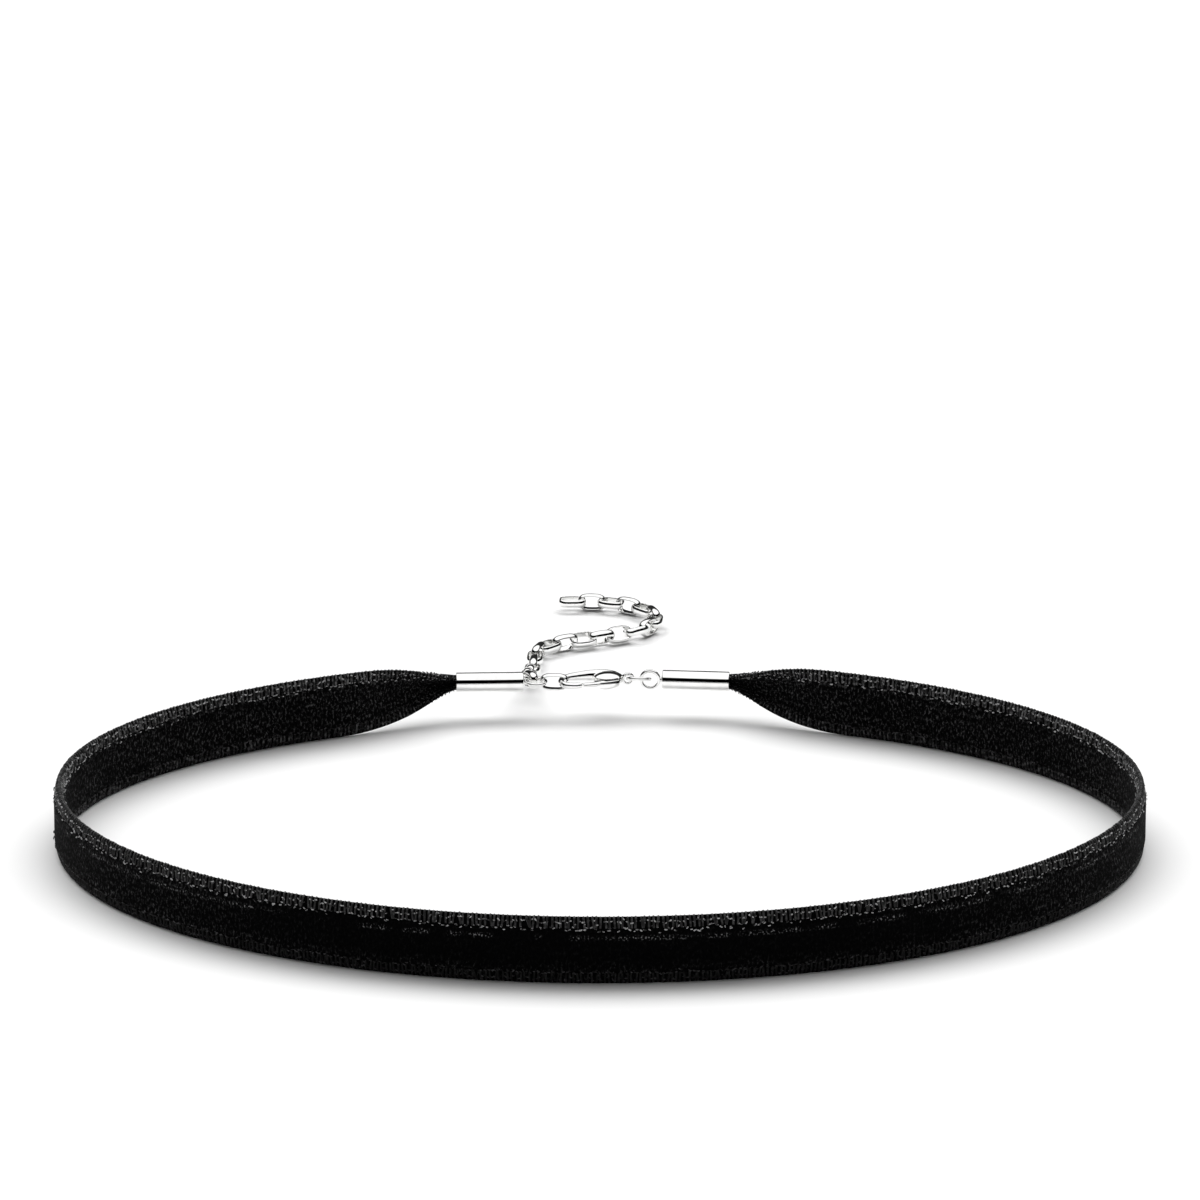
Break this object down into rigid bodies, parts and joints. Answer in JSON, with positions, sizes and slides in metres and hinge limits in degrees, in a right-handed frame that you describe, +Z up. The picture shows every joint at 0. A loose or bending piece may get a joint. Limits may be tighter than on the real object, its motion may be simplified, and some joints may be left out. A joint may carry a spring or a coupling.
{
  "type": "choker necklace",
  "caption": "Velvet ribbon choker standing in a loop, its gathered ends in silver tubes, fastened by a lobster clasp to an extension chain.",
  "frame": {"origin": "middle of the footprint, on the surface that the choker stands on", "axes": "+Z up, -Y towards the front of the loop, opposite the fastening, +X towards the clasp's end tube"},
  "size_m": [0.1252, 0.131, 0.008],
  "materials": {
    "velvet": "black velvet pile between woven selvedges",
    "silver": "polished silver"
  },
  "bodies": {
    "choker": {"velvet_ribbon": "velvet", "end_tube_left": "silver", "end_tube_right": "silver", "jump_ring": "silver", "clasp_body": "silver", "chain_link_01": "silver", "chain_link_02": "silver", "chain_link_03": "silver", "chain_link_04": "silver", "chain_link_05": "silver", "chain_link_06": "silver", "chain_link_07": "silver", "chain_link_08": "silver", "chain_link_09": "silver", "chain_link_10": "silver", "chain_link_11": "silver", "chain_link_12": "silver", "chain_link_13": "silver", "chain_link_14": "silver", "chain_link_15": "silver", "chain_link_16": "silver", "chain_link_17": "silver", "chain_link_18": "silver", "chain_link_19": "silver", "chain_link_20": "silver", "chain_link_21": "silver", "chain_link_22": "silver", "chain_link_23": "silver", "chain_link_24": "silver"},
    "lever": {"clasp_lever": "silver"}
  },
  "joints": [
    {"name": "clasp_lever_hinge", "type": "hinge", "parent": "choker", "child": "lever", "pos_m": [0.00126, 0.02542, 0.0044], "axis": [0, 0, -1], "range_deg": [0, 20], "stiffness_Nm_per_rad": 0.0004}
  ]
}
